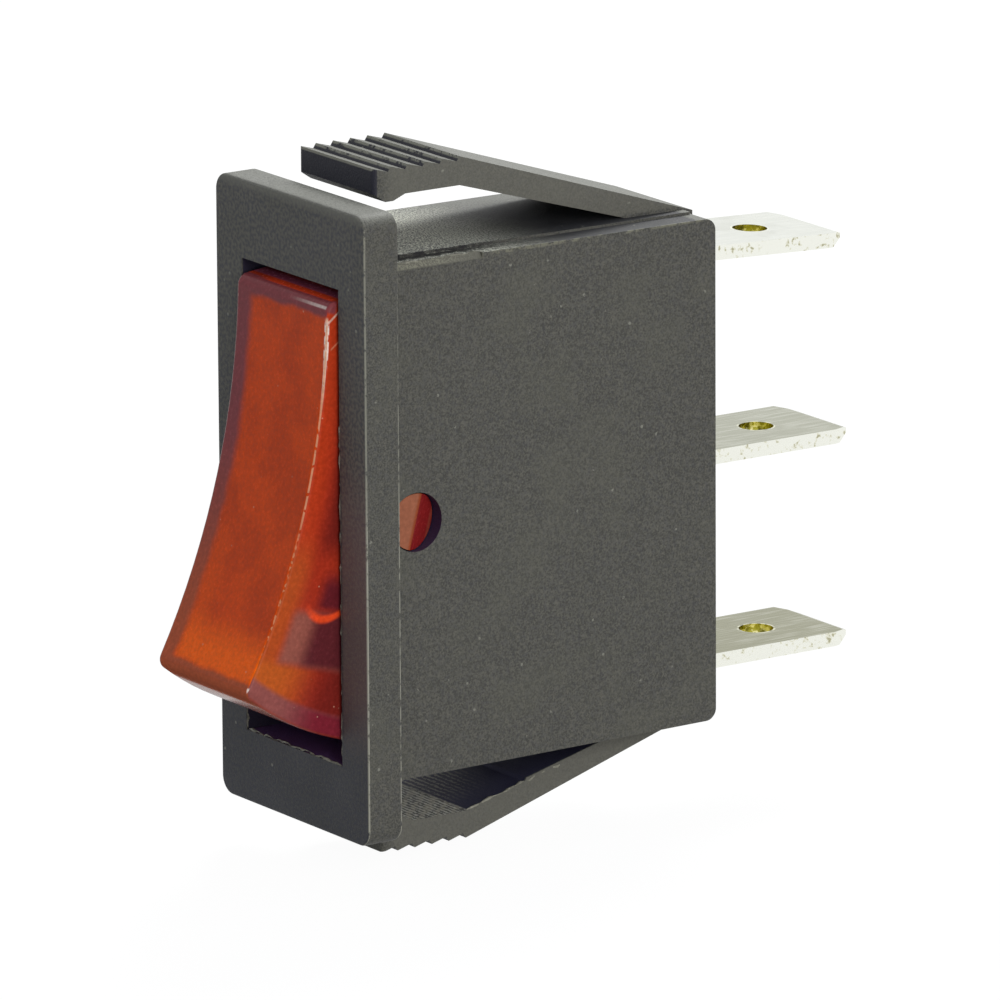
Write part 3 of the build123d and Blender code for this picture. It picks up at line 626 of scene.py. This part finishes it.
# %% Inner metals
def worked_metal(name, pale, dark, marks, roughness):
    material, tree, place = new_material(name)
    drawn = add(tree, "ShaderNodeMapping", Vector=place, Scale=marks).outputs[0]
    mark = add(tree, "ShaderNodeTexNoise", Vector=drawn, Scale=1.0, Detail=3.0).outputs[0]
    base = paint(tree, colour(pale), {"mark": mark}, [(dark, 0.9, [("mark", 0.42, 0.68)])])
    relief = add(tree, "ShaderNodeBump", Height=mark, Strength=0.3, Distance=0.01 * mm)
    gloss = add(tree, "ShaderNodeMapRange", Value=mark, To_Min=roughness - 0.08, To_Max=roughness + 0.12)
    shader = add(tree, "ShaderNodeBsdfPrincipled", Base_Color=base, Roughness=gloss.outputs[0], Metallic=1.0,
                 Normal=relief.outputs[0])
    finish_material(tree, shader)
    return material


metals = (("dull_nickel", "#c2bdae", "#8f8a7c", (3, 3, 0.6), 0.38, ("electrode_left", "electrode_right")),
          ("tinned_copper", "#d2d1ca", "#a8a69c", (4, 4, 1), 0.35,
           ("resistor_lead_inner", "resistor_lead_outer")),
          ("solder", "#c8c8c4", "#8e8e8a", (2.5, 2.5, 2.5), 0.42, ("solder_joint",)),
          ("spring_steel", "#b4b4b2", "#7e7e80", (6, 6, 6), 0.3,
           ("plunger_spring", "lamp_spring_upper", "lamp_spring_lower")),
          ("rolled_brass", "#d2ac62", "#a8803c", (5, 5, 0.5), 0.34, ("contact_blade",)),
          ("silver_contact", "#dedcd6", "#aaa69c", (2, 2, 2), 0.28, ("moving_contact", "fixed_contact")))
for name, pale, dark, marks, roughness, pieces in metals:
    assign(worked_metal(name, pale, dark, marks, roughness), *pieces)

# %% [markdown]
# ## Flash at the mould's edges
#
# Where the halves of a mould meet, a little nylon is squeezed out as a thin ragged fin, called flash, and it
# turns pale where it is torn. Here it shows along the opening, at the box's upper edge and inside the lower
# arm. A painted line would look flat on the outline, so each fin is a thin bar, cut into short lengths whose
# corners are moved by a seeded random amount.

# %% Flash
def torn_nylon():
    material, tree, place = new_material("torn_nylon")
    grain = add(tree, "ShaderNodeTexNoise", Vector=place, Scale=1 / 0.15, Detail=3.0).outputs[0]
    patch = add(tree, "ShaderNodeTexNoise", Vector=place, Scale=1 / 0.8, Detail=2.0).outputs[0]
    base = paint(tree, colour("#6c6b62"), {"grain": grain, "patch": patch}, [
        ("#8c8b7f", 0.9, [("patch", 0.42, 0.6)]),
        ("#b4b2a2", 0.6, [("grain", 0.5, 0.7)]),
    ])
    relief = add(tree, "ShaderNodeBump", Height=grain, Strength=0.5, Distance=0.03 * mm)
    shader = add(tree, "ShaderNodeBsdfPrincipled", Base_Color=base, Roughness=0.7, IOR=1.53,
                 Specular_IOR_Level=0.3, Normal=relief.outputs[0])
    finish_material(tree, shader)
    return material


torn = torn_nylon()
cut_length = 0.3


def fin(name, start, end, thickness, depth, ragged, seed):
    """A ragged bar from start to end, in millimetres; ragged is how far its corners stray each way."""
    start, end = Vector(start), Vector(end)
    run = end - start
    mesh = bmesh.new()
    bmesh.ops.create_cube(mesh, size=1.0)
    along = [edge for edge in mesh.edges if abs(edge.verts[0].co.x - edge.verts[1].co.x) > 0.5]
    bmesh.ops.subdivide_edges(mesh, edges=along, cuts=max(4, int(run.length / cut_length)), use_grid_fill=True)
    stray = random.Random(seed)
    stations = sorted({round(vertex.co.x, 4) for vertex in mesh.verts})
    shift = {station: (stray.uniform(-1, 1), stray.uniform(-1, 1), stray.uniform(0.2, 1.0))
             for station in stations}
    turn = run.to_track_quat("X", "Z").to_matrix().to_4x4()
    for vertex in mesh.verts:
        across, rise, width = shift[round(vertex.co.x, 4)]
        ends = 0.3 if abs(vertex.co.x) > 0.499 else 1.0
        vertex.co.y = (vertex.co.y * depth * width + across * ragged[0]) * ends
        vertex.co.z = (vertex.co.z * thickness * width + rise * ragged[1]) * ends
        vertex.co.x *= run.length
    bmesh.ops.transform(mesh, matrix=Matrix.Scale(mm, 4) @ Matrix.Translation((start + end) / 2) @ turn,
                        verts=mesh.verts)
    bmesh.ops.recalc_face_normals(mesh, faces=mesh.faces)
    data = bpy.data.meshes.new(name)
    mesh.to_mesh(data)
    mesh.free()
    data.materials.append(torn)
    piece = bpy.data.objects.new(name, data)
    bpy.context.scene.collection.objects.link(piece)
    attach(piece, "housing")
    print(name, "is", round(run.length, 1), "mm long with", len(data.polygons), "faces")


fin("flash_opening_side", (4.6, -2.13, -12.8), (4.6, -2.13, 6.0), 0.1, 0.14, (0.05, 0.02), 3)
fin("flash_opening_left", (-4.6, -2.13, -12.8), (-4.6, -2.13, -10.6), 0.1, 0.14, (0.05, 0.02), 4)
fin("flash_opening_bottom", (-4.5, -2.12, -12.85), (4.5, -2.12, -12.85), 0.14, 0.12, (0.02, 0.06), 5)
fin("flash_box_edge", (5.28, 0.05, 13.97), (5.28, 6.3, 13.94), 0.16, 0.2, (0.07, 0.05), 7)
fin("flash_box_corner", (5.46, 5.8, 13.76), (5.46, 6.9, 13.82), 0.26, 0.26, (0.05, 0.06), 9)
fin("flash_lower_arm", (3.52, 6.4, -16.86), (3.52, 12.5, -15.3), 0.14, 0.12, (0.05, 0.05), 11)

# %% [markdown]
# ## Floor, backdrop and light
#
# The switch is shown standing free before pure white. Rays from the camera, and those mirrored or passed by
# the object, see a white world and a white floor. The floor lies just below the object and still takes a
# little of the lamps' light, so it keeps a faint shadow. Two soft area lamps stand for the studio: one beside
# the switch, which lights its side, and one above and behind it to the left, which makes what looks up pale.
# The sky is slightly blue, so that faces turned away from the lamps look cool, as under a window.

# %% Floor and backdrop
floor_drop = 1.0 * mm
floor_size = 2.0
floor_height = cad_box[0].z - floor_drop


def shows_white(tree):
    """1 for rays from the camera and for those mirrored or passed by the object, and 0 for all others."""
    ray = add(tree, "ShaderNodeLightPath").outputs
    seen = add(tree, "ShaderNodeMath", {"operation": "MAXIMUM"}, N0=ray["Is Camera Ray"],
               N1=ray["Is Glossy Ray"])
    seen = add(tree, "ShaderNodeMath", {"operation": "MAXIMUM"}, N0=seen.outputs[0],
               N1=ray["Is Transmission Ray"])
    return seen.outputs[0]


def white_floor():
    material, tree, place = new_material("white_floor")
    patch = add(tree, "ShaderNodeTexNoise", Vector=place, Scale=1 / 40, Detail=2.0).outputs[0]
    tone = paint(tree, colour("#9a9a9a"), {"patch": patch}, [("#949494", 1.0, [("patch", 0.4, 0.6)])])
    matt = add(tree, "ShaderNodeBsdfDiffuse", Color=tone)
    # the faint grey takes the lamps' light, so the shadow shows, and the glow brings it up to white
    faint = add(tree, "ShaderNodeBsdfDiffuse", Color=colour("#464646"))
    glow = add(tree, "ShaderNodeEmission", Color=(1, 1, 1, 1), Strength=0.96)
    shown = add(tree, "ShaderNodeAddShader", N0=faint.outputs[0], N1=glow.outputs[0])
    finish_material(tree, add(tree, "ShaderNodeMixShader", N0=shows_white(tree), N1=matt.outputs[0],
                              N2=shown.outputs[0]))
    return material


bpy.ops.mesh.primitive_plane_add(size=floor_size, location=(0, 0, floor_height))
floor = bpy.context.object
floor.name = "floor"
floor.data.materials.append(white_floor())

world = bpy.data.worlds.new("studio")
bpy.context.scene.world = world
world.use_nodes = True
sky_tree = world.node_tree
sky_tree.nodes.clear()
sky = add(sky_tree, "ShaderNodeBackground", Color=(0.86, 0.91, 1.0, 1), Strength=0.42)
white = add(sky_tree, "ShaderNodeBackground", Color=(1, 1, 1, 1), Strength=1.0)
mix = add(sky_tree, "ShaderNodeMixShader", N0=shows_white(sky_tree), N1=sky.outputs[0], N2=white.outputs[0])
add(sky_tree, "ShaderNodeOutputWorld", Surface=mix.outputs[0])
print("floor at a height of", round(floor_height / mm, 1), "mm from the pivot line")

# %% [markdown]
# ## Lamps
#
# A soft box in a studio is a square sheet of light, and an area lamp is just that. Each one faces the object
# and is given by its place in metres, its side, its power in watts and its tint.

# %% Lamps
def lamp(name, place, size, power, tint):
    """A square area lamp that faces the object."""
    data = bpy.data.lights.new(name, "AREA")
    data.size = size
    data.energy = power
    data.color = tint
    lamp_object = bpy.data.objects.new(name, data)
    bpy.context.scene.collection.objects.link(lamp_object)
    lamp_object.location = place
    lamp_object.rotation_euler = (-Vector(place)).to_track_quat("-Z", "Y").to_euler()
    print(name, "at", [round(value, 2) for value in place])


lamp("side_light", (0.48, -0.08, 0.14), 0.3, 1.6, (1.0, 0.98, 0.94))
lamp("top_light", (-0.2, 0.25, 0.34), 0.2, 1.75, (1.0, 1.0, 0.98))

# %% [markdown]
#
# The picture uses the plain Standard view, so that a colour comes out as it was written.

# %% Finish
bpy.context.scene.view_settings.view_transform = "Standard"
